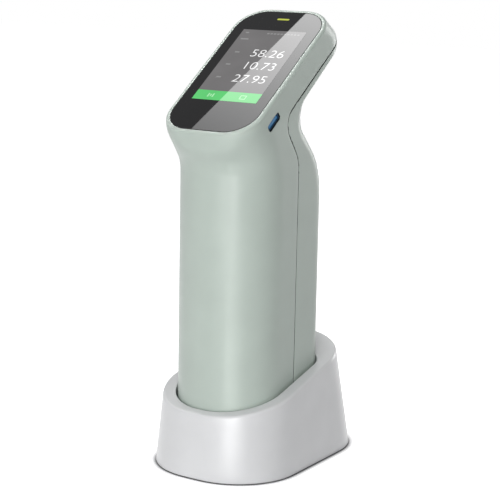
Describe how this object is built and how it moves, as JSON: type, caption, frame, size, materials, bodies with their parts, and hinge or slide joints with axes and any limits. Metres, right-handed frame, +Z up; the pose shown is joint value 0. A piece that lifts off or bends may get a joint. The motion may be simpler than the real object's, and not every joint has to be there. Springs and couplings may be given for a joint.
{
  "type": "handheld colorimeter with calibration base",
  "caption": "Handheld sphere colorimeter: upright two-shell grip with a leaning glass screen head and side USB socket, standing in a slanted-rim calibration base.",
  "frame": {"origin": "centre of the base's footprint, on the surface it stands on", "axes": "+Z up; the user faces the screen from -Y; the socket is on the +X side and both keys are on the -X side"},
  "size_m": [0.0736, 0.1107, 0.2191],
  "materials": {
    "sage_housing": "pale sage green moulded plastic, satin",
    "silver_base": "silver-grey satin painted plastic",
    "black_glass": "black-backed cover glass, polished",
    "display": "lit colour display",
    "status_light": "clear light pipe, lit yellow-green",
    "black_plastic": "black moulded plastic, fine texture",
    "grey_plastic": "dark grey moulded plastic",
    "blue_plastic": "blue moulded plastic",
    "circuit_board": "green solder mask",
    "steel": "plated steel",
    "black_metal": "black anodised metal",
    "white_coating": "white diffusing coating, dead matt",
    "white_ceramic": "white glazed ceramic",
    "battery_wrap": "plain shrink wrap",
    "lamp": "clear lamp",
    "rubber": "soft black rubber"
  },
  "bodies": {
    "base": {"base_shell": "silver_base", "base_plate": "grey_plastic", "base_screw_1": "steel", "base_screw_2": "steel", "base_screw_3": "steel", "base_screw_4": "steel", "rubber_foot_1": "rubber", "rubber_foot_2": "rubber", "rubber_foot_3": "rubber", "rubber_foot_4": "rubber", "tile_holder": "black_plastic", "calibration_tile": "white_ceramic"},
    "instrument": {"front_housing": "sage_housing", "rear_housing": "sage_housing", "display_glass": "black_glass", "display_panel": "display", "display_frame": "grey_plastic", "status_light_pipe": "status_light", "main_board": "circuit_board", "usb_port_shell": "steel", "usb_port_tongue": "blue_plastic", "power_switch": "black_plastic", "measure_switch": "black_plastic", "button_board": "circuit_board", "chassis": "grey_plastic", "battery_cell_left": "battery_wrap", "battery_cell_right": "battery_wrap", "power_board": "circuit_board", "spectrometer_case": "black_metal", "spectrometer_cover": "black_metal", "diffraction_grating": "steel", "sensor_board": "circuit_board", "lens_barrel": "black_metal", "sphere_upper_half": "white_coating", "sphere_lower_half": "white_coating", "lamp": "lamp", "lamp_board": "circuit_board", "bottom_cap": "black_plastic", "target_mask": "black_metal", "housing_screw_1": "steel", "housing_screw_2": "steel", "housing_screw_3": "steel", "housing_screw_4": "steel"},
    "measure_key": {"measure_button": "sage_housing"},
    "power_key": {"power_button": "sage_housing"}
  },
  "joints": [
    {"name": "instrument_lift", "type": "slide", "parent": "base", "child": "instrument", "axis": [0, 0, 1], "range_m": [0, 0.06]},
    {"name": "measure_button_press", "type": "slide", "parent": "instrument", "child": "measure_key", "axis": [1, 0, 0], "range_m": [0, 0.0008], "stiffness_N_per_m": 1200},
    {"name": "power_button_press", "type": "slide", "parent": "instrument", "child": "power_key", "axis": [1, 0, 0], "range_m": [0, 0.0005], "stiffness_N_per_m": 1200}
  ]
}
